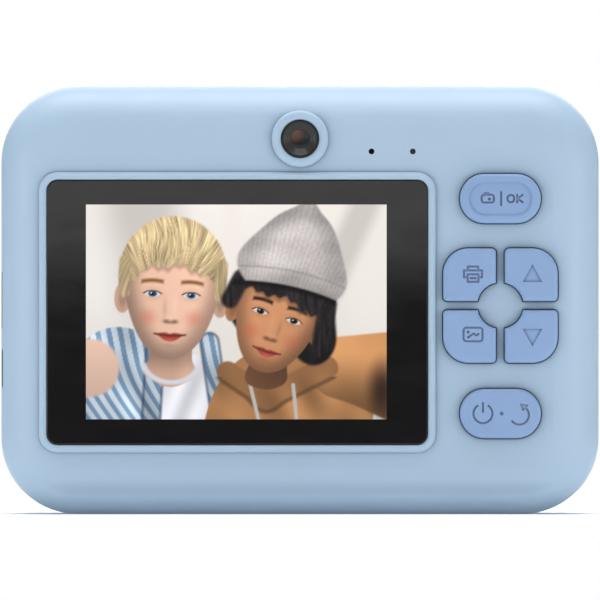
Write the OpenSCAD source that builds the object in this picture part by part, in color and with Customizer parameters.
// Kids instant-print camera: a soft-cornered two-part shell with a 3 inch screen and six buttons on
// the back, a big ring lens on the front and a thermal printer under a hinged paper door on top.
//
// Millimetres. Z is up and the camera stands on Z = 0. The screen faces -Y and the main lens +Y.
// Inside the modules, Y is written as depth: 0 at the shell's outer back face, growing towards the
// front. camera_place() then shifts everything so that the whole camera is centred on X and Y.

/* [Body] */
// Overall width of the shell
body_width = 123; // [121:0.5:126]
// Overall height of the shell
body_height = 88; // [88:0.5:92]
// Shell depth, back face to front face
body_depth = 42; // [42:0.5:46]
// Corner radius seen from the back
corner_radius = 15.6; // [14.5:0.1:16.5]
// Radius of the soft edge round each face
edge_radius = 9.5; // [9:0.1:9.5]
// Shell wall thickness
wall = 2; // [1.9:0.1:2.1]

/* [Screen] */
// Width of the screen window
screen_width = 78.3; // [77:0.1:79]
// Height of the screen window
screen_height = 54.4; // [54:0.1:55]
// Middle of the window, across
screen_x = -12.9; // [-13.4:0.1:-12.5]
// Middle of the window, up
screen_z = 41.5; // [41:0.1:42.5]
// Width of the raised rim round the window
rim_width = 1.55; // [1.2:0.05:1.7]
// How far the rim stands out of the back face
rim_proud = 0.9; // [0.5:0.1:1.1]

/* [Buttons] */
// Middle of the button column, across
buttons_x = 41.2; // [41:0.1:42]
// Height of the shutter and OK button
ok_z = 64.9; // [64.6:0.1:65.6]
// Height of the middle of the four-way pad
pad_z = 42.9; // [42.5:0.1:43.4]
// Height of the power button
power_z = 20.7; // [20.4:0.1:21.2]
// Width of the two long buttons
pill_width = 16.7; // [16:0.1:17]
// Height of the two long buttons
pill_height = 10.2; // [10:0.1:10.6]
// Size of the square that the four-way pad fills
pad_size = 23.6; // [23:0.1:24]
// Strip of shell between two keys of the pad
pad_gap = 1.75; // [1.5:0.05:1.8]
// Diameter of the round shell island in the pad's middle
pad_island = 9.5; // [9:0.1:10]
// How far the buttons stand out of the back face
button_proud = 1.6; // [1.4:0.1:1.8]
// Clear gap round each button
button_gap = 0.2; // [0.15:0.01:0.25]
// How far a button goes in
button_travel = 0.5; // [0.3:0.1:0.6]

/* [Lens] */
// Outer diameter of the lens ring
ring_diameter = 44; // [40:0.5:46]
// How far the lens ring stands out of the front face
ring_proud = 7; // [6.5:0.1:7.5]
// Height of the main lens
lens_z = 38; // [37.5:0.1:38.5]
// Diameter of the selfie lens window
selfie_diameter = 7.8; // [7.4:0.1:8]
// Outer diameter of the raised ring round the selfie lens
selfie_ring = 11.6; // [11:0.1:11.6]

/* [Printer] */
// Diameter of the full paper roll
roll_diameter = 25; // [20:0.5:25]
// Width of the paper
paper_width = 57; // [56:0.5:57]
// Width of the hinged paper door
door_width = 74; // [73:0.5:75]
// Diameter of the rubber platen roller
platen_diameter = 7.9; // [7.7:0.1:7.9]
// Free play between gear teeth
gear_play = 0.12; // [0.1:0.01:0.16]

/* [Shown] */
// Sub-part to show, or all

/* [Hidden] */
$fn = 96;
slim = 0.01;
cut = 1;

// Colours, one per material
SHELL_BLUE = [0.66, 0.76, 0.85];
BUTTON_BLUE = [0.53, 0.64, 0.80];
BLACK = [0.08, 0.08, 0.09];
SMOKED = [0.16, 0.16, 0.18];
CLEAR = [0.80, 0.86, 0.90];
BOARD_GREEN = [0.10, 0.35, 0.20];
STEEL = [0.72, 0.73, 0.75];
WHITE = [0.93, 0.93, 0.92];
PAPER = [0.96, 0.96, 0.94];
CARD_BROWN = [0.66, 0.52, 0.36];
AMBER = [0.80, 0.52, 0.20];
SILVER_FOIL = [0.62, 0.64, 0.67];

// Whole camera
back_y = -(body_depth + ring_proud - button_proud) / 2;
parting = body_depth / 2;
lip = 1.2;
lip_thick = 0.95;
lip_play = 0.05;
seam = 0.4;
seam_deep = 0.25;
boss_x = body_width / 2 - 9;
boss_low = 14;
boss_high = body_height - 14;
boss_radius = 3.6;
BOSSES = [for (x = [-boss_x, boss_x], z = [boss_low, boss_high]) [x, z]];

// Screen stack
glass_thick = 1.15;
glass_sunk = 0.45;
glass_gap = 0.1;
glass_corner = 2.2;
glass_bevel = 0.25;
lcd_width = 70;
lcd_height = 50;
lcd_x = screen_x - 0.2;
lcd_z = screen_z + 0.1;
lcd_gap = 0.3;
lcd_front = glass_thick - glass_sunk + 0.05;
panel_thick = 1.3;
tray_thick = 1.5;
tray_back = lcd_front + panel_thick + tray_thick;

// Main board, with the switches on its back side and the chips on its front side
board_back = wall + 3.6;
board_thick = 1.6;
board_front = board_back + board_thick;
board_left = -(body_width / 2 - 4.5);
board_right = body_width / 2 - 6.5;
board_low = 10;
board_high = 69.5;
board_corner = 8;
tab_left = -8;
tab_right = 28;
tab_high = body_height - 8;
board_screw_radius = 0.8;
post_radius = 1.9;
post_hole_floor = wall + 0.4;
POSTS = [[-52.5, 60], [-52.5, 20.5], [25.6, 22], [25.6, 62]];

// Buttons
flange_wide = 0.5;
flange_thick = 0.7;
flange_back = wall + 0.2;
flange_front = flange_back + flange_thick;
pillow = 0.9;
switch_size = 6;
switch_tall = 1.9;
switch_bore = 1.2;
plunger_radius = 1;
switch_floor = 0.15;
press_spare = 0.35;
plunger_front = board_back - switch_floor - press_spare - button_travel;
dish_wide = 13.3;
dish_high = 7.3;
dish_deep = 0.4;
icon_deep = 0.3;
stroke = 0.42;
key_size = (pad_size - pad_gap) / 2;
key_offset = (pad_size + pad_gap) / 4;
key_corner = 5.3;
key_small_corner = 1;
OK_AT = [buttons_x, ok_z];
POWER_AT = [buttons_x, power_z];
PAD_AT = [buttons_x, pad_z];
PRINT_AT = PAD_AT + [-key_offset, key_offset];
UP_AT = PAD_AT + [key_offset, key_offset];
GALLERY_AT = PAD_AT + [-key_offset, -key_offset];
DOWN_AT = PAD_AT + [key_offset, -key_offset];
SWITCHES = [OK_AT, PRINT_AT, UP_AT, GALLERY_AT, DOWN_AT, POWER_AT];

// Selfie camera, microphone and indicator above the screen
selfie_z = body_height - 10.8;
selfie_proud = 1.1;
selfie_radius = selfie_diameter / 2;
selfie_glass = 0.8;
selfie_barrel = 3.2;
selfie_housing = 8.5;
pinhole_z = body_height - 13.4;
pinhole_radius = 0.6;
MIC_AT = [14.7, pinhole_z];
LED_AT = [23.2, pinhole_z];

// Main lens
ring_radius = ring_diameter / 2;
ring_round = 2.2;
ring_inner = ring_radius - 5.2;
window_seat = ring_proud - ring_round;
window_thick = 1;
barrel_radius = 5;
lens_bore = 7;
cone_steps = 5;
cone_back_radius = 6.2;

// Flash, speaker, battery and ports
FLASH_AT = [30, 66];
flash_wide = 9;
flash_high = 6;
SPEAKER_AT = [-38, 24];
speaker_radius = 10;
speaker_deep = 4.3;
speaker_pitch = 3.4;
speaker_hole = 0.85;
battery_wide = 38;
battery_high = 36;
battery_thick = 8;
battery_x = 25;
battery_z = 26;
battery_back = board_front + 3.3;
usb_z = 30;
usb_deep = 3.2;
usb_high = 9;
usb_mid = board_front + usb_deep / 2;
port_left = -(body_width / 2 - 1.2);
card_z = 44;
card_high = 11;
card_long = 15;
card_thick = 0.7;
card_mid = board_front + 0.9;
card_left = -(body_width / 2 - 0.5);
card_gap = 0.15;
strap_z = 55;
strap_mid = parting + 8.4;
strap_pocket = 11;
strap_deep = 8.5;
strap_bar_radius = 1;
strap_bar_x = body_width / 2 - 2.3;

// Printer: every place is [depth, height]
HINGE = [11, body_height - 3];
barrel_outer = 3;
hinge_pin = 1;
hinge_play = 0.08;
hinge_ear = 3.7;
door_gap = 0.3;
door_front = body_depth - 6.8;
slot_front = door_front + 1.7;
PLATEN = [body_depth - 12.5, body_height - 9];
platen_radius = platen_diameter / 2;
platen_half = 28;
shaft_radius = 1.5;
shaft_play = 0.05;
bush_radius = 2.5;
arm_in = 29.2;
arm_thick = 1.6;
arm_round = 3.3;
ROLL = [body_depth / 2 + 1.5, body_height - 25];
roll_radius = roll_diameter / 2;
core_radius = 6;
core_bore = 4.8;
cradle_bore = 12.9;
cradle_wall = 1.2;
cradle_half = arm_in + cradle_wall;
cradle_top = body_height - 14;
cradle_front_top = body_height - 20;
head_angle = -35;
head_near = platen_radius + 0.19;
head_thick = 1;
head_high = 8;
bracket_thick = 2;
paper_thick = 0.1;
tooth_bar = 0.4;

// Gear train beside the cradle
gear_module = 0.5;
gear_left = 32.2;
gear_thick = 2.8;
pressure = 20;
tip_share = 0.8;
root_share = 1.25;
platen_teeth = 20;
idler_teeth = 30;
pinion_teeth = 14;
idler_direction = -105;
pinion_direction = 200;
IDLER = PLATEN + gear_step(platen_teeth, idler_teeth) * ray(idler_direction);
PINION = IDLER + gear_step(idler_teeth, pinion_teeth) * ray(pinion_direction);
platen_phase = idler_direction;
idler_phase = idler_direction + 180 + 180 / idler_teeth;
pinion_phase = pinion_direction + 180 + 180 / pinion_teeth
    + (pinion_direction - idler_phase) * idler_teeth / pinion_teeth;
motor_radius = 7.5;
motor_left = gear_left + gear_thick + 0.8;
motor_long = 10;
plate_thick = 0.7;
MOTOR_POSTS = [ROLL + [-10.5, 7], ROLL + [-4.5, -9]];

// The corners of a rounded rectangle, in the order that its sides follow each other
CORNER_SIGNS = [[1, -1], [1, 1], [-1, 1], [-1, -1]];

// ---------------------------------------------------------------- functions

function ray(angle) = [cos(angle), sin(angle)];
function unit(v) = v / norm(v);
function left_of(v) = [-v[1], v[0]];
function four(r) = [r, r, r, r];

// Distance between the axes of two gears that mesh
function gear_step(a, b) = gear_module * (a + b) / 2;

// Involute of an angle, in degrees
function involute(a) = tan(a) * 180 / PI - a;

// Half the angle that one tooth covers at a radius
function tooth_half(teeth, radius) =
    let (pitch = gear_module * teeth / 2, base = pitch * cos(pressure))
    90 / teeth - gear_play / 4 / pitch * 180 / PI
        + involute(pressure) - involute(acos(base / radius));

// One side of a tooth as [radius, half angle], from the root up
function flank(teeth) =
    let (
        pitch = gear_module * teeth / 2,
        base = pitch * cos(pressure) + slim,
        tip = pitch + gear_module * tip_share,
        root = pitch - gear_module * root_share,
        steps = 4
    )
    concat(
        [[root, tooth_half(teeth, base)]],
        [for (i = [0:steps]) let (r = base + (tip - base) * i / steps) [r, tooth_half(teeth, r)]]
    );

function gear_points(teeth) = [
    for (k = [0:teeth - 1])
        let (side = flank(teeth), middle = 360 * k / teeth, last = len(side) - 1)
        each concat(
            [for (i = [0:last]) side[i][0] * ray(middle - side[i][1])],
            [for (i = [last:-1:0]) side[i][0] * ray(middle + side[i][1])]
        )
];

// How far, and which way, a ribbon's edge lies from its middle line at one point of the line
function mitre(path, i) =
    let (
        last = len(path) - 1,
        before = i > 0 ? unit(path[i] - path[i - 1]) : unit(path[1] - path[0]),
        after = i < last ? unit(path[i + 1] - path[i]) : before,
        out = unit(left_of(before) + left_of(after))
    )
    out / (out * left_of(before));

// Outline of a ribbon of one thickness along a line
function ribbon(path, thick) =
    let (last = len(path) - 1)
    concat(
        [for (i = [0:last]) path[i] + mitre(path, i) * thick / 2],
        [for (i = [last:-1:0]) path[i] - mitre(path, i) * thick / 2]
    );

// A point given as distance from the platen's axis towards the head, and along the head's face
function by_head(out, along) =
    PLATEN + out * ray(head_angle) + along * ray(head_angle + 90);

// ---------------------------------------------------------------- helpers

module camera_place() {
    translate([0, back_y, 0]) children();
}

// Extrudes a drawing of the back view (across, up) from one depth forwards
module slab(depth, thick) {
    translate([0, depth + thick, 0])
        rotate([90, 0, 0])
            linear_extrude(thick)
                children();
}

// Extrudes a drawing of the side view (depth, up) along X
module across(left, length) {
    translate([left, 0, 0])
        rotate([90, 0, 90])
            linear_extrude(length)
                children();
}

// Extrudes a drawing of the top view (across, depth) upwards
module upright(low, length) {
    translate([0, 0, low])
        linear_extrude(length)
            children();
}

// Revolves a profile (radius, depth) about an axis that runs front to back
module turned(place) {
    translate([place[0], 0, place[1]])
        rotate([-90, 0, 0])
            rotate_extrude()
                children();
}

// Round bar that runs front to back
module pin_through(place, radius, depth, length) {
    slab(depth, length)
        translate(place)
            circle(radius);
}

// Round bar that runs along X, at [depth, height]
module pin_across(place, radius, left, length) {
    across(left, length)
        translate(place)
            circle(radius);
}

// What a round corner leaves of a square one
module corner_waste(radius) {
    difference() {
        square(radius + cut);
        circle(radius);
    }
}

// Rectangle with a radius of its own at each corner, centred
module rounded(size, radii) {
    difference() {
        square(size, center = true);
        for (i = [0:3])
            if (radii[i] > slim)
                translate([
                    CORNER_SIGNS[i][0] * (size[0] / 2 - radii[i]),
                    CORNER_SIGNS[i][1] * (size[1] / 2 - radii[i])
                ])
                    rotate(90 * (i - 1))
                        corner_waste(radii[i]);
    }
}

// Section of a soft edge: a square bar rounded at the back, and at the front too if asked
module edge_section(edge, thick, both) {
    difference() {
        square([edge, thick]);
        translate([0, edge])
            mirror([0, 1, 0])
                corner_waste(edge);
        if (both)
            translate([0, thick - edge])
                corner_waste(edge);
    }
}

// Plate in the back view's plane, centred, with soft edges at the back or on both faces
module soft_plate(size, radii, edge, thick, both = false) {
    slab(0, thick)
        rounded(size - [2 * edge, 2 * edge], [for (r = radii) r - edge]);
    for (i = [0:3]) {
        sideways = i % 2 == 0;
        out = (sideways ? size[0] : size[1]) / 2;
        half = (sideways ? size[1] : size[0]) / 2;
        run = 2 * half - radii[i] - radii[(i + 1) % 4];
        rotate([0, -90 * i, 0]) {
            if (run > slim)
                translate([out - edge, 0, radii[i] - half])
                    linear_extrude(run)
                        edge_section(edge, thick, both);
            translate([out - radii[i], 0, radii[i] - half])
                rotate([-90, 0, 0])
                    rotate_extrude(angle = 90)
                        translate([radii[i] - edge, 0])
                            edge_section(edge, thick, both);
        }
    }
}

// The space inside the shell's outer face, sunk by an even amount
module body_block(sunk) {
    translate([0, sunk, body_height / 2])
        soft_plate(
            [body_width - 2 * sunk, body_height - 2 * sunk],
            four(corner_radius - sunk),
            edge_radius - sunk,
            body_depth - 2 * sunk,
            true
        );
}

module body_outline(sunk) {
    translate([0, body_height / 2])
        rounded([body_width - 2 * sunk, body_height - 2 * sunk], four(corner_radius - sunk));
}

// Everything between two depths
module depth_range(from, to) {
    translate([-body_width, from, -cut])
        cube([2 * body_width, to - from, body_height + 2 * cut]);
}

// The shell as one hollow skin, between two depths
module shell_skin(from, to) {
    intersection() {
        difference() {
            body_block(0);
            body_block(wall);
        }
        depth_range(from, to);
    }
}

// Shallow groove round the outside where the two shells meet
module seam_groove() {
    slab(parting - seam / 2, seam)
        difference() {
            body_outline(-cut);
            body_outline(seam_deep);
        }
}

// ---------------------------------------------------------------- button outlines

// Long button, centred
module pill_outline(grow) {
    size = [pill_width + 2 * grow, pill_height + 2 * grow];
    rounded(size, four(size[1] / 2));
}

// Corner radii of a pad key, with the big one towards the pad's outer corner
function key_radii(turn, grow) = [
    for (i = [0:3]) (i == turn ? key_corner : key_small_corner) + grow
];

// Pad key, centred on itself. turn is the corner that points away from the pad's middle.
module key_outline(turn, grow) {
    difference() {
        rounded([key_size + 2 * grow, key_size + 2 * grow], key_radii(turn, grow));
        translate(-key_offset * CORNER_SIGNS[turn])
            circle(pad_island / 2 - grow);
    }
}

// Soft-edged cap of a long button, with a flange inside the shell
module pill_cap() {
    soft_plate([pill_width, pill_height], four(pill_height / 2), pillow, button_proud + flange_back);
    slab(button_proud + flange_back - slim, flange_thick + slim)
        pill_outline(flange_wide);
}

// Soft-edged cap of a pad key, with a flange inside the shell
module key_cap(turn) {
    middle = -key_offset * CORNER_SIGNS[turn];
    island = pad_island / 2;
    tall = button_proud + flange_back;
    difference() {
        soft_plate([key_size, key_size], key_radii(turn, 0), pillow, tall);
        turned(middle) {
            translate([0, -cut]) square([island, tall + 2 * cut]);
            translate([island, 0])
                difference() {
                    translate([-cut, -cut]) square([cut + pillow, cut + pillow]);
                    translate([pillow, pillow]) circle(pillow);
                }
        }
    }
    slab(tall - slim, flange_thick + slim)
        key_outline(turn, flange_wide);
}

// Moves a cap from its own middle to its place, with its face standing out of the back
module seated(place) {
    translate([place[0], -button_proud, place[1]])
        children();
}

// Cuts a drawn icon into a cap's face
module engraved(below) {
    slab(below - cut, icon_deep + cut)
        children();
}

// Round stem under a cap that reaches into the switch
module plunger(place) {
    color(WHITE)
        pin_through(place, plunger_radius, flange_front, plunger_front - flange_front);
}

// ---------------------------------------------------------------- icons, centred, back view

// Line with round ends from one point to another
module line(from, to, thick = stroke) {
    way = to - from;
    translate(from) {
        circle(thick / 2);
        rotate(atan2(way[1], way[0]))
            translate([0, -thick / 2])
                square([norm(way), thick]);
    }
    translate(to) circle(thick / 2);
}

// Line through a list of points
module lines(points, closed = false) {
    last = len(points) - 1;
    for (i = [0:last - 1])
        line(points[i], points[i + 1]);
    if (closed)
        line(points[last], points[0]);
}

// Ring of one stroke's width, open over a wedge that starts at one angle
module open_ring(radius, start, gap) {
    reach = 4 * radius;
    difference() {
        circle(radius + stroke / 2);
        circle(radius - stroke / 2);
        polygon([[0, 0], reach * ray(start), reach * ray(start + gap / 2), reach * ray(start + gap)]);
    }
}

module frame_icon(size, radius) {
    difference() {
        rounded(size + [stroke, stroke], four(radius + stroke / 2));
        rounded(size - [stroke, stroke], four(radius - stroke / 2));
    }
}

module camera_icon() {
    frame_icon([2.5, 1.6], 0.5);
    line([-0.6, 1.1], [0.1, 1.1]);
    translate([0.35, -0.1]) circle(0.3);
}

module ok_letters() {
    translate([-0.95, 0]) frame_icon([1.35, 1.5], 0.65);
    line([0.35, -0.75], [0.35, 0.75]);
    line([0.45, 0], [1.45, 0.75]);
    line([0.45, 0], [1.45, -0.75]);
}

// Paper in, printer body and paper out, one above the other
module printer_icon() {
    lines([[-1.05, 1.05], [-1.05, 1.55], [1.05, 1.55], [1.05, 1.05]]);
    lines([[-1.15, -0.65], [-1.85, -0.65], [-1.85, 0.75], [1.85, 0.75], [1.85, -0.65], [1.15, -0.65]]);
    lines([[-1.1, -0.05], [-1.1, -1.6], [1.1, -1.6], [1.1, -0.05]], true);
    line([-0.5, -0.85], [0.5, -0.85]);
}

module picture_icon() {
    frame_icon([3.9, 2.8], 0.6);
    translate([-1, 0.5]) circle(0.28);
    lines([[-1, -0.6], [0.1, 0.2], [0.7, -0.2], [1.1, 0.1]]);
}

// Filled triangle that points up, or down with -1
module arrow_icon(up) {
    polygon([[-2, -1.75 * up], [2, -1.75 * up], [0, 1.85 * up]]);
}

module power_icon() {
    open_ring(1.95, 60, 60);
    line([0, 0.4], [0, 2.2]);
}

// Arrow that bends back over itself
module return_icon() {
    open_ring(1.95, 62, 153);
    polygon([[0.1, 2.35], [1.95, 2.1], [0.7, 0.75]]);
}

// ---------------------------------------------------------------- shells

module rim_section() {
    bulge = (rim_width * rim_width / 4 + rim_proud * rim_proud) / (2 * rim_proud);
    intersection() {
        translate([rim_width / 2, bulge - rim_proud]) circle(bulge);
        translate([0, -rim_proud - cut]) square([rim_width, rim_proud + 2 * cut]);
    }
}

// Raised convex rim round the screen window
module screen_rim() {
    hole = [screen_width / 2 + glass_gap, screen_height / 2 + glass_gap];
    bend = glass_corner + glass_gap;
    translate([screen_x, 0, screen_z])
        for (i = [0:3]) {
            out = hole[i % 2];
            half = hole[(i + 1) % 2];
            rotate([0, -90 * i, 0]) {
                translate([out, 0, bend - half])
                    linear_extrude(2 * (half - bend))
                        rim_section();
                translate([out - bend, 0, bend - half])
                    rotate([-90, 0, 0])
                        rotate_extrude(angle = 90)
                            translate([bend, 0])
                                rim_section();
            }
        }
}

// Raised round ring that holds the selfie window
module selfie_rim() {
    width = selfie_ring / 2 - selfie_radius;
    turned([0, selfie_z])
        translate([selfie_radius + glass_gap / 2, 0]) {
            translate([width / 2, width / 2 - selfie_proud]) circle(width / 2);
            translate([0, width / 2 - selfie_proud]) square([width, selfie_proud - width / 2 + cut]);
        }
}

// Openings of the six buttons
module button_holes() {
    slab(-cut - button_proud, wall + 2 * cut + button_proud) {
        translate(OK_AT) pill_outline(button_gap);
        translate(POWER_AT) pill_outline(button_gap);
        translate(PRINT_AT) key_outline(2, button_gap);
        translate(UP_AT) key_outline(1, button_gap);
        translate(GALLERY_AT) key_outline(3, button_gap);
        translate(DOWN_AT) key_outline(0, button_gap);
    }
}

// Everything cut through the back face
module back_face_holes() {
    slab(-cut - rim_proud, cut + rim_proud + glass_thick - glass_sunk)
        translate([screen_x, screen_z])
            rounded(
                [screen_width + 2 * glass_gap, screen_height + 2 * glass_gap],
                four(glass_corner + glass_gap)
            );
    slab(-cut, wall + 2 * cut)
        translate([lcd_x, lcd_z])
            square([lcd_width + 2 * lcd_gap, lcd_height + 2 * lcd_gap], center = true);
    button_holes();
    pin_through([0, selfie_z], selfie_radius + glass_gap / 2, -selfie_proud - cut,
        selfie_proud + cut + selfie_glass - 0.5);
    pin_through([0, selfie_z], selfie_barrel + 0.2, -cut, wall + 2 * cut);
    for (hole = [MIC_AT, LED_AT])
        pin_through(hole, pinhole_radius, -cut, wall + 2 * cut);
}

// USB opening and card slot in the left side
module port_openings() {
    across(-body_width / 2 - cut, wall + 4 + cut)
        translate([usb_mid, usb_z])
            rounded([usb_deep + 0.6, usb_high + 0.6], four(usb_deep / 2 + 0.3));
    across(-body_width / 2 - cut, wall + 4 + cut)
        translate([card_mid, card_z])
            square([card_thick + 0.5, card_high + 0.6], center = true);
}

// Opening in the top for the paper door and the paper slot
module door_opening() {
    half = door_width / 2 + door_gap;
    translate([-half, HINGE[0] - barrel_outer - door_gap, HINGE[1] - 1.5])
        cube([2 * half, slot_front - HINGE[0] + barrel_outer + door_gap, 6]);
    pin_across(HINGE, barrel_outer + door_gap, -half, 2 * half);
}

// Blocks inside the back shell that hold the ends of the hinge pins
module hinge_ears() {
    for (side = [-1, 1])
        translate([side * (door_width / 2 + door_gap + hinge_ear / 2), HINGE[0] + 0.5, HINGE[1] - 0.9])
            cube([hinge_ear, 7, 4.6], center = true);
}

module hinge_pin_bores() {
    long = hinge_ear - 0.6;
    for (side = [-1, 1])
        pin_across(
            HINGE,
            hinge_pin + hinge_play,
            side * (door_width / 2 + door_gap + (long - cut) / 2) - (long + cut) / 2,
            long + cut
        );
}

module back_shell() {
    color(SHELL_BLUE)
        difference() {
            union() {
                shell_skin(-cut, parting);
                screen_rim();
                selfie_rim();
                slab(parting - lip, 2 * lip)
                    difference() {
                        body_outline(wall - lip_thick);
                        body_outline(wall);
                    }
                for (boss = BOSSES)
                    pin_through(boss, boss_radius, wall - slim, parting - wall + slim);
                for (post = POSTS)
                    pin_through(post, post_radius, wall - slim, board_back - wall + slim);
                hinge_ears();
            }
            back_face_holes();
            port_openings();
            door_opening();
            hinge_pin_bores();
            seam_groove();
            for (boss = BOSSES)
                pin_through(boss, 1.3, parting - 12, 12 + cut);
            for (post = POSTS)
                pin_through(post, board_screw_radius, post_hole_floor, board_back);
        }
}

// Rings of small holes over the speaker
module speaker_holes() {
    slab(body_depth - wall - cut, wall + 2 * cut)
        translate(SPEAKER_AT) {
            circle(speaker_hole);
            for (ring = [1:2], k = [0:6 * ring - 1])
                translate(ring * speaker_pitch * ray(360 * k / (6 * ring)))
                    circle(speaker_hole);
        }
}

// Walled pocket in the right side that the strap bar crosses
module strap_pocket_wall() {
    deep = strap_deep + 1.5;
    intersection() {
        body_block(wall / 2);
        translate([body_width / 2 - deep / 2, strap_mid, strap_z])
            cube([deep, strap_pocket + 3, strap_pocket + 3], center = true);
    }
}

module strap_pocket_hollow() {
    across(body_width / 2 - strap_deep, strap_deep + cut)
        translate([strap_mid, strap_z])
            rounded([strap_pocket, strap_pocket], four(3));
}

module front_shell() {
    color(SHELL_BLUE)
        difference() {
            union() {
                difference() {
                    shell_skin(parting, body_depth + cut);
                    slab(parting - cut, lip + cut + 0.1)
                        difference() {
                            body_outline(wall - lip_thick - lip_play);
                            body_outline(wall + lip_play);
                        }
                }
                for (boss = BOSSES)
                    pin_through(boss, boss_radius, parting, body_depth - wall - parting + slim);
                strap_pocket_wall();
            }
            door_opening();
            seam_groove();
            strap_pocket_hollow();
            upright(strap_z - strap_pocket / 2 - 1.2, strap_pocket + 2.4)
                translate([strap_bar_x, strap_mid])
                    circle(strap_bar_radius);
            for (boss = BOSSES) {
                pin_through(boss, 1.6, parting - cut, body_depth);
                pin_through(boss, 2.7, parting + 3.2, body_depth);
            }
            pin_through([0, lens_z], lens_bore, body_depth - wall - cut, wall + 2 * cut);
            speaker_holes();
            slab(body_depth - 1.2, 1.2 + cut)
                translate(FLASH_AT)
                    rounded([flash_wide, flash_high], four(1.5));
            slab(body_depth - wall - cut, wall + 2 * cut)
                translate(FLASH_AT)
                    rounded([flash_wide - 2.4, flash_high - 2.4], four(0.6));
        }
}

// ---------------------------------------------------------------- screen and board

module screen_window() {
    color(BLACK)
        translate([screen_x, -glass_sunk, screen_z])
            soft_plate([screen_width, screen_height], four(glass_corner), glass_bevel, glass_thick);
}

module lcd_panel() {
    color(SMOKED)
        slab(lcd_front, panel_thick)
            translate([lcd_x, lcd_z])
                square([lcd_width, lcd_height], center = true);
}

module backlight_tray() {
    floor = 0.5;
    side = 0.8;
    color(WHITE)
        difference() {
            slab(lcd_front + panel_thick, tray_thick)
                translate([lcd_x, lcd_z])
                    rounded([lcd_width, lcd_height], four(1));
            slab(lcd_front + panel_thick - cut, tray_thick - floor + cut)
                translate([lcd_x, lcd_z])
                    square([lcd_width - 2 * side, lcd_height - 2 * side], center = true);
        }
}

// Printed flex from the foot of the display to the board
module display_flex() {
    thick = 0.15;
    foot = lcd_z - lcd_height / 2;
    path = [
        [tray_back + thick / 2, foot + 6],
        [tray_back + thick / 2, foot + 1],
        [tray_back + 0.9, foot - 1.5],
        [board_back - thick / 2 - slim, foot - 3],
        [board_back - thick / 2 - slim, foot - 5.5]
    ];
    color(AMBER)
        across(lcd_x - 10, 20)
            polygon(ribbon(path, thick));
}

module board_outline() {
    difference() {
        union() {
            translate([(board_left + board_right) / 2, (board_low + board_high) / 2])
                rounded([board_right - board_left, board_high - board_low], four(board_corner));
            translate([tab_left, board_high - cut])
                square([tab_right - tab_left, tab_high - board_high + cut]);
        }
        for (boss = BOSSES)
            translate(boss) circle(boss_radius + 0.4);
        for (post = POSTS)
            translate(post) circle(board_screw_radius);
    }
}

module main_pcb() {
    color(BOARD_GREEN)
        slab(board_back, board_thick)
            board_outline();
}

// Chips and the printer's connector on the front side of the board
module board_chips() {
    color(BLACK) {
        translate([-22, board_front, 22]) cube([11, 1.1, 11]);
        translate([-6, board_front, 24]) cube([7, 0.9, 6]);
        translate([-24, board_front, 38]) cube([8, 1, 5]);
        translate([28, board_front, 48]) cube([5, 1.2, 5]);
    }
}

// Flat head with a crossed recess, seen from the front, on a shank that points to the back
module screw(place, seat, head_radius, head_tall, shank_radius, shank_long) {
    cross = head_radius * 1.1;
    arm = head_radius * 0.3;
    difference() {
        pin_through(place, head_radius, seat, head_tall);
        slab(seat + head_tall * 0.45, head_tall)
            translate(place) {
                square([cross, arm], center = true);
                square([arm, cross], center = true);
            }
    }
    pin_through(place, shank_radius, seat - shank_long, shank_long);
}

module board_screws() {
    color(STEEL)
        for (post = POSTS)
            screw(post, board_front, 1.8, 1.2, board_screw_radius, board_front - post_hole_floor - 0.2);
}

module housing_screws() {
    color(STEEL)
        for (boss = BOSSES)
            screw(boss, parting + 3.2, 2.4, 1.8, 1.3, 3.2 + 11);
}

// Six small switches on the back side of the board, each with a blind bore for its plunger
module tact_switches() {
    color(BLACK)
        for (place = SWITCHES)
            difference() {
                slab(board_back - switch_tall, switch_tall)
                    translate(place)
                        rounded([switch_size, switch_size], four(0.6));
                pin_through(place, switch_bore, board_back - switch_tall - cut,
                    switch_tall + cut - switch_floor);
            }
}

module selfie_window() {
    color(SMOKED)
        turned([0, selfie_z]) {
            translate([0, -0.5]) square([selfie_radius, selfie_glass]);
        }
}

// Camera module behind the selfie window: square holder, barrel and sensor plate
module selfie_camera() {
    holder_tall = 2.8;
    holder_back = board_back - holder_tall;
    color(BLACK) {
        slab(holder_back, holder_tall)
            translate([0, selfie_z])
                rounded([selfie_housing, selfie_housing], four(0.8));
        turned([0, selfie_z])
            difference() {
                translate([0, 0.35]) square([selfie_barrel, holder_back - 0.35 + slim]);
                translate([0, 0.35 - cut]) square([1.3, cut + 1.2]);
                translate([0, 0.35 - cut]) square([2.2, cut + 0.5]);
            }
    }
}

// Small capsule in a rubber boot against the shell's inner face
module microphone() {
    color(BLACK)
        turned(MIC_AT)
            difference() {
                translate([0, wall]) square([2, board_back - wall]);
                translate([0, wall - cut]) square([0.5, cut + 1]);
            }
}

module indicator_led() {
    color(CLEAR)
        translate([LED_AT[0] - 1, board_back - 0.7, LED_AT[1] - 0.6])
            cube([2, 0.7, 1.2]);
    color(CLEAR)
        pin_through(LED_AT, 0.5, board_back - 1.2, 0.5 + slim);
}

// ---------------------------------------------------------------- buttons

module ok_button() {
    color(BUTTON_BLUE)
        seated(OK_AT)
            difference() {
                pill_cap();
                translate([0, dish_deep, 0])
                    mirror([0, 1, 0])
                        soft_plate([dish_wide, dish_high], four(dish_high / 2), dish_deep, dish_deep + cut);
                engraved(dish_deep) {
                    translate([-2.6, 0]) camera_icon();
                    line([0.15, -1.3], [0.15, 1.3]);
                    translate([3.1, 0]) ok_letters();
                }
            }
}

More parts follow.
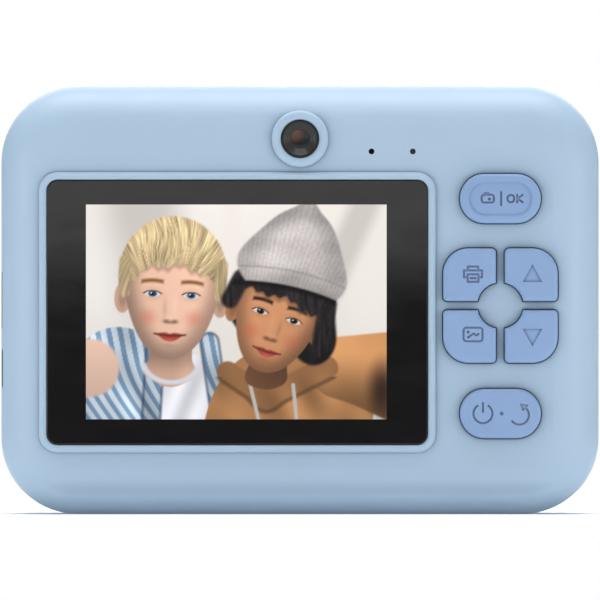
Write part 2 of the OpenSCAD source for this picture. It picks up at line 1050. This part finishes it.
module power_button() {
    color(BUTTON_BLUE)
        seated(POWER_AT)
            difference() {
                pill_cap();
                engraved(0) {
                    translate([-3.6, 0]) power_icon();
                    translate([0.25, 0]) circle(0.4);
                    translate([3.9, -0.3]) return_icon();
                }
            }
}

// Pad key whose icon sits a little off the key's middle
module pad_key(place, turn, icon_at) {
    color(BUTTON_BLUE)
        seated(place)
            difference() {
                key_cap(turn);
                engraved(0)
                    translate(icon_at)
                        children();
            }
}

module print_button() {
    pad_key(PRINT_AT, 2, [0.7, 0.15]) printer_icon();
}

module up_button() {
    pad_key(UP_AT, 1, [0.25, 0.3]) arrow_icon(1);
}

module gallery_button() {
    pad_key(GALLERY_AT, 3, [0.7, 0.4]) picture_icon();
}

module down_button() {
    pad_key(DOWN_AT, 0, [0.25, -0.2]) arrow_icon(-1);
}

// ---------------------------------------------------------------- main lens and front fittings

// Big soft ring round the main lens, standing on the front face
module lens_ring() {
    color(WHITE)
        turned([0, lens_z])
            difference() {
                translate([0, body_depth]) {
                    translate([ring_inner, 0]) square([ring_radius - ring_inner, window_seat]);
                    translate([ring_radius - ring_round, window_seat]) circle(ring_round);
                }
                translate([0, body_depth]) square([ring_inner, ring_proud]);
            }
}

// Black stepped funnel from the ring down to the lens
module lens_cone() {
    fall = window_seat - 0.4;
    step_in = (ring_inner - 0.8 - cone_back_radius) / cone_steps;
    step_down = fall / cone_steps;
    color(BLACK)
        turned([0, lens_z])
            difference() {
                translate([cone_back_radius - 0.6, body_depth])
                    square([ring_inner - slim - cone_back_radius + 0.6, fall]);
                for (i = [1:cone_steps])
                    translate([0, body_depth + step_down * (i - 0.5)])
                        square([cone_back_radius + step_in * i, window_seat]);
            }
}

module lens_window() {
    lift = 0.35;
    color(CLEAR)
        turned([0, lens_z])
            translate([0, body_depth + window_seat - 0.4])
                difference() {
                    square([ring_inner - glass_gap, window_thick]);
                    translate([ring_inner - glass_gap - lift, window_thick - lift])
                        polygon([[0, lift], [lift, 0], [lift + cut, 0], [lift + cut, lift + cut], [0, lift + cut]]);
                }
}

// Camera module behind the main lens: board, holder and barrel
module main_camera() {
    color(BLACK) {
        slab(body_depth - wall - 6.2, 1)
            translate([0, lens_z]) rounded([17, 17], four(1));
        slab(body_depth - wall - 5.2, 4)
            translate([0, lens_z]) rounded([13, 13], four(1.2));
        turned([0, lens_z])
            translate([0, body_depth - wall - 1.2 - slim])
                difference() {
                    square([barrel_radius, 4.2 + slim]);
                    translate([0, 0.8]) square([barrel_radius - 1, 4.2]);
                }
    }
}

// Two glass elements in the main barrel, the front one domed
module lens_elements() {
    bowl = 7;
    base = body_depth - wall - 0.4;
    edge = barrel_radius - 1 - slim;
    color(CLEAR)
        turned([0, lens_z]) {
            translate([0, base]) square([edge, 0.8]);
            intersection() {
                translate([0, base + 1.6]) square([edge, 3]);
                translate([0, base + 3.2 - bowl]) circle(bowl);
            }
        }
}

module flash_window() {
    color(CLEAR)
        slab(body_depth - 1.2, 1)
            translate(FLASH_AT)
                rounded([flash_wide - 0.1, flash_high - 0.1], four(1.45));
}

module flash_led() {
    color(WHITE) {
        slab(body_depth - wall - 2.4, 1)
            translate(FLASH_AT) square([9, 7], center = true);
        slab(body_depth - wall - 1.4 - slim, 1.3)
            translate(FLASH_AT) rounded([3.5, 2.8], four(0.3));
    }
}

// Round driver with a dished cone, facing the holes in the front
module speaker() {
    back = body_depth - wall - speaker_deep;
    color(BLACK)
        turned(SPEAKER_AT)
            translate([0, back])
                difference() {
                    union() {
                        square([speaker_radius * 0.55, speaker_deep - 1]);
                        translate([0, 1.8]) square([speaker_radius, speaker_deep - 1.8]);
                    }
                    translate([0, speaker_deep + 9.2]) circle(11);
                }
}

module battery() {
    color(SILVER_FOIL)
        translate([battery_x, battery_back, battery_z])
            soft_plate([battery_wide, battery_high], four(3.2), 3, battery_thick, true);
}

// USB-C receptacle on the edge of the board
module usb_port() {
    skin = 0.3;
    tongue = 0.7;
    long = 7.3;
    color(STEEL)
        difference() {
            across(port_left, long)
                translate([usb_mid, usb_z])
                    rounded([usb_deep, usb_high], four(usb_deep / 2 - slim));
            across(port_left - cut, long - 1 + cut)
                translate([usb_mid, usb_z])
                    rounded([usb_deep - 2 * skin, usb_high - 2 * skin], four(usb_deep / 2 - skin - slim));
        }
    color(BLACK)
        across(port_left + 1, long - 2)
            translate([usb_mid, usb_z])
                square([tongue, usb_high - 2.4], center = true);
}

module card_socket() {
    left = card_left + 2.6;
    high = card_high + 3.4;
    color(STEEL)
        difference() {
            across(left, card_long)
                translate([board_front + 0.9, card_z])
                    square([1.8, high], center = true);
            across(left - cut, card_long - 0.4 + cut)
                translate([card_mid, card_z])
                    square([card_thick + 2 * card_gap, card_high + 2 * card_gap], center = true);
        }
}

module memory_card() {
    notch = 1;
    color(BLACK)
        slab(card_mid - card_thick / 2, card_thick)
            translate([card_left, card_z - card_high / 2])
                difference() {
                    square([card_long, card_high]);
                    translate([card_long - 6, card_high - notch]) square([6 + cut, notch + cut]);
                }
}

module strap_bar() {
    color(STEEL)
        upright(strap_z - strap_pocket / 2 - 1.2, strap_pocket + 2.4)
            translate([strap_bar_x, strap_mid])
                circle(strap_bar_radius);
}

// ---------------------------------------------------------------- printer

// Side view of the cradle: a round trough with straight walls above it
module trough(radius, front_top, back_top) {
    translate(ROLL) circle(radius);
    translate([ROLL[0] - radius, ROLL[1]]) square([radius, back_top - ROLL[1]]);
    translate([ROLL[0] - slim, ROLL[1]]) square([radius + slim, front_top - ROLL[1]]);
}

// Trough that the paper roll lies in, with posts for the motor plate
module paper_cradle() {
    outer = cradle_bore + cradle_wall;
    color(WHITE) {
        difference() {
            across(-cradle_half, 2 * cradle_half)
                trough(outer, cradle_front_top, cradle_top);
            across(-arm_in, 2 * arm_in)
                union() {
                    translate(ROLL) circle(cradle_bore);
                    translate(ROLL - [cradle_bore, 0])
                        square([2 * cradle_bore, body_height]);
                }
        }
        for (post = MOTOR_POSTS)
            pin_across(post, 1.5, cradle_half - slim, motor_left - plate_thick - cradle_half + slim);
    }
}

module paper_roll() {
    color(PAPER)
        across(-paper_width / 2, paper_width)
            translate(ROLL)
                difference() {
                    circle(roll_radius);
                    circle(core_radius);
                }
}

module paper_core() {
    color(CARD_BROWN)
        across(-paper_width / 2, paper_width)
            translate(ROLL)
                difference() {
                    circle(core_radius);
                    circle(core_bore);
                }
}

// Paper on its way from the roll, over the print head and up into the slot
module paper_strip() {
    slot_mid = slot_front - 0.75;
    over_head = head_near - paper_thick / 2 - slim;
    head_foot = by_head(over_head, -head_high / 2);
    lift = roll_radius + 0.15;
    leaving = atan2(head_foot[1] - ROLL[1], head_foot[0] - ROLL[0]) - acos(lift / norm(head_foot - ROLL));
    rise = (slot_mid - by_head(over_head, 0)[0]) / cos(head_angle + 90);
    path = [
        ROLL + lift * ray(leaving),
        head_foot,
        by_head(over_head, rise),
        [slot_mid, body_height - 1.4]
    ];
    color(PAPER)
        across(-paper_width / 2, paper_width)
            polygon(ribbon(path, paper_thick));
}

module by_head_face(out, thick, low, high) {
    translate(PLATEN)
        rotate(head_angle)
            translate([out, low])
                square([thick, high - low]);
}

module print_head() {
    color(WHITE)
        across(-platen_half, 2 * platen_half)
            by_head_face(head_near, head_thick, -head_high / 2, head_high / 2);
}

// Finned metal back of the print head
module head_bracket() {
    fins = 6;
    pitch = 2 * platen_half / fins;
    color(STEEL)
        difference() {
            across(-platen_half, 2 * platen_half)
                by_head_face(head_near + head_thick, bracket_thick, -head_high / 2, head_high / 2);
            for (i = [1:fins - 1])
                across(-platen_half + i * pitch - 1, 2)
                    by_head_face(head_near + head_thick + 1.2, bracket_thick, -head_high / 2 - cut,
                        head_high / 2 + cut);
        }
}

// Bent leaf spring between the bracket and the front wall
module head_spring() {
    thick = 0.4;
    out = head_near + head_thick + bracket_thick + thick / 2 + slim;
    inside = body_depth - wall - thick / 2 - 0.05;
    path = [
        by_head(out, 1),
        by_head(out, -3),
        [inside, by_head(out, -3)[1] - 4],
        [inside, by_head(out, -3)[1] - 8]
    ];
    color(STEEL)
        across(-8, 16)
            polygon(ribbon(path, thick));
}

// Steel bar with a row of teeth along the paper slot
module tear_bar() {
    half = paper_width / 2;
    low = body_height - 4.8;
    high = body_height - 1.3;
    tooth = 0.5;
    count = floor(paper_width);
    pitch = paper_width / count;
    color(STEEL)
        slab(slot_front - tooth_bar, tooth_bar)
            polygon(concat(
                [[half, low], [-half, low]],
                [for (i = [0:count - 1]) each [
                    [-half + i * pitch, high - tooth],
                    [-half + (i + 0.5) * pitch, high]
                ]],
                [[half, high - tooth]]
            ));
}

// Side view of one door arm: round about the platen's axis and straight up to the door
module door_arm() {
    translate(PLATEN) circle(arm_round);
    translate([PLATEN[0] - 3, PLATEN[1]]) square([5.5, body_height - wall - PLATEN[1] + 0.5]);
}

module paper_door() {
    half = door_width / 2;
    grips = 3;
    color(SHELL_BLUE)
        difference() {
            union() {
                intersection() {
                    difference() {
                        body_block(0);
                        body_block(wall);
                    }
                    translate([-half, HINGE[0], HINGE[1] - 2])
                        cube([2 * half, door_front - HINGE[0], 6]);
                }
                pin_across(HINGE, barrel_outer, -half, 2 * half);
                for (side = [-1, 1])
                    across(side * (arm_in + arm_thick / 2) - arm_thick / 2, arm_thick)
                        door_arm();
            }
            for (side = [-1, 1]) {
                pin_across(HINGE, hinge_pin, side * (half - 2) - 3, 6);
                pin_across(PLATEN, bush_radius, side * (arm_in + arm_thick / 2) - arm_thick, 2 * arm_thick);
            }
            for (i = [0:grips - 1])
                translate([-12, door_front - 3.4 - 2 * i, body_height - 0.5])
                    cube([24, 0.9, 2]);
        }
}

// Two steel pins, fixed in the door, that turn in the back shell
module hinge_pins() {
    long = 8;
    color(STEEL)
        for (side = [-1, 1])
            pin_across(HINGE, hinge_pin, side * (door_width / 2 - 1) - long / 2, long);
}

module platen_roller() {
    color(BLACK)
        across(-platen_half, 2 * platen_half)
            translate(PLATEN)
                difference() {
                    circle(platen_radius);
                    circle(shaft_radius);
                }
}

module platen_shaft() {
    left = -(arm_in + arm_thick + 0.8);
    color(STEEL)
        pin_across(PLATEN, shaft_radius, left, gear_left + gear_thick + 0.3 - left);
}

module platen_bushes() {
    flange = 0.7;
    color(WHITE)
        for (side = [-1, 1])
            difference() {
                union() {
                    pin_across(PLATEN, bush_radius, side * (arm_in + arm_thick / 2) - arm_thick / 2, arm_thick);
                    pin_across(PLATEN, bush_radius + 0.6, side * (arm_in - flange / 2) - flange / 2, flange);
                }
                pin_across(PLATEN, shaft_radius + shaft_play, side * arm_in - 3, 6);
            }
}

module spur_gear(place, teeth, phase, bore) {
    across(gear_left, gear_thick)
        translate(place)
            rotate(phase)
                difference() {
                    polygon(gear_points(teeth));
                    circle(bore);
                }
}

module platen_gear() {
    color(WHITE) spur_gear(PLATEN, platen_teeth, platen_phase, shaft_radius);
}

module idler_gear() {
    color(WHITE) spur_gear(IDLER, idler_teeth, idler_phase, 1 + shaft_play);
}

module motor_pinion() {
    color(AMBER) spur_gear(PINION, pinion_teeth, pinion_phase, 0.75 + shaft_play);
}

module idler_pin() {
    color(STEEL)
        pin_across(IDLER, 1, cradle_half, gear_left + gear_thick + 0.1 - cradle_half);
}

module stepper_motor() {
    color(STEEL) {
        pin_across(PINION, motor_radius, motor_left, motor_long);
        pin_across(PINION, 0.75, gear_left, motor_left - gear_left + slim);
    }
}

// Steel plate that holds the motor on the cradle's posts
module motor_plate() {
    color(STEEL)
        across(motor_left - plate_thick, plate_thick)
            difference() {
                union() {
                    translate(PINION) circle(motor_radius + 0.6);
                    for (post = MOTOR_POSTS)
                        translate(post) circle(2.6);
                }
                translate(PINION) circle(2);
            }
}

// ---------------------------------------------------------------- the camera

camera_place() {
    back_shell();
    front_shell();
    screen_window();
    lcd_panel();
    backlight_tray();
    display_flex();
    main_pcb();
    board_chips();
    board_screws();
    tact_switches();
    selfie_window();
    selfie_camera();
    microphone();
    indicator_led();
    ok_button();
    plunger(OK_AT);  // ok_plunger
    print_button();
    plunger(PRINT_AT);  // print_plunger
    up_button();
    plunger(UP_AT);  // up_plunger
    gallery_button();
    plunger(GALLERY_AT);  // gallery_plunger
    down_button();
    plunger(DOWN_AT);  // down_plunger
    power_button();
    plunger(POWER_AT);  // power_plunger
    lens_ring();
    lens_cone();
    lens_window();
    lens_elements();
    main_camera();
    flash_window();
    flash_led();
    speaker();
    battery();
    usb_port();
    card_socket();
    memory_card();
    strap_bar();
    paper_cradle();
    paper_roll();
    paper_core();
    paper_strip();
    print_head();
    head_bracket();
    head_spring();
    tear_bar();
    paper_door();
    hinge_pins();
    platen_roller();
    platen_shaft();
    platen_gear();
    platen_bushes();
    idler_gear();
    idler_pin();
    motor_pinion();
    stepper_motor();
    motor_plate();
    housing_screws();
}
